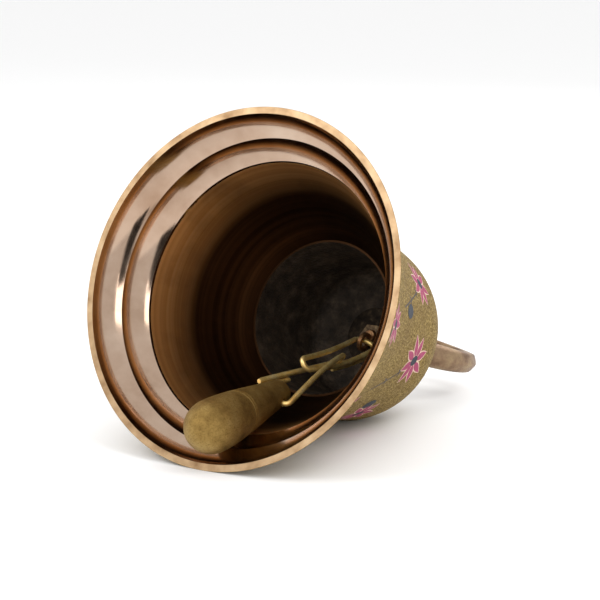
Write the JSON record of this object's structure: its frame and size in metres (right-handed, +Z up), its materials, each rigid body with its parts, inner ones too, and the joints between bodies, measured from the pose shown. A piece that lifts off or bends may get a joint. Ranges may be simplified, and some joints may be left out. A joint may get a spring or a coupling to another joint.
{
  "type": "temple bell",
  "caption": "Cast brass temple bell on its side, with a hanging loop on its crown and a clapper hung inside on hooked wire links.",
  "frame": {"origin": "centre of the footprint, on the surface the bell lies on", "axes": "+Z up, +Y along the horizontal from the mouth towards the crown, +X to the right when looking along +Y"},
  "size_m": [0.15, 0.2087, 0.1412],
  "materials": {
    "shell_brass": "painted sandy gold outside with flowers, turned and as-cast inside",
    "loop_brass": "cast, filed and tarnished",
    "bolt_metal": "dull copper brown",
    "washer_metal": "dark tarnish",
    "nut_metal": "dark tarnish",
    "link_wire": "drawn wire, bright",
    "clapper_brass": "matte cast with lathe marks and scratches"
  },
  "bodies": {
    "bell": {"bell_shell": "shell_brass", "crown_loop": "loop_brass", "eye_bolt": "bolt_metal", "crown_washer": "washer_metal", "crown_nut": "nut_metal"},
    "upper_link": {"upper_link": "link_wire"},
    "lower_link": {"lower_link": "link_wire"},
    "clapper": {"clapper": "clapper_brass"}
  },
  "joints": [
    {"name": "upper_link_swing", "type": "hinge", "parent": "bell", "child": "upper_link", "pos_m": [0, 0.03036, 0.03138], "axis": [-0.9781, 0.0703, 0.1957], "range_deg": [0, 30]},
    {"name": "lower_link_swing", "type": "hinge", "parent": "upper_link", "child": "lower_link", "pos_m": [0.00515, 0.0053, 0.0267], "axis": [-1, 0, 0], "range_deg": [0, 12]},
    {"name": "clapper_swing", "type": "hinge", "parent": "lower_link", "child": "clapper", "pos_m": [0.00076, -0.04492, 0.02095], "axis": [-0.9401, 0.0416, 0.3383], "range_deg": [0, 30]}
  ]
}
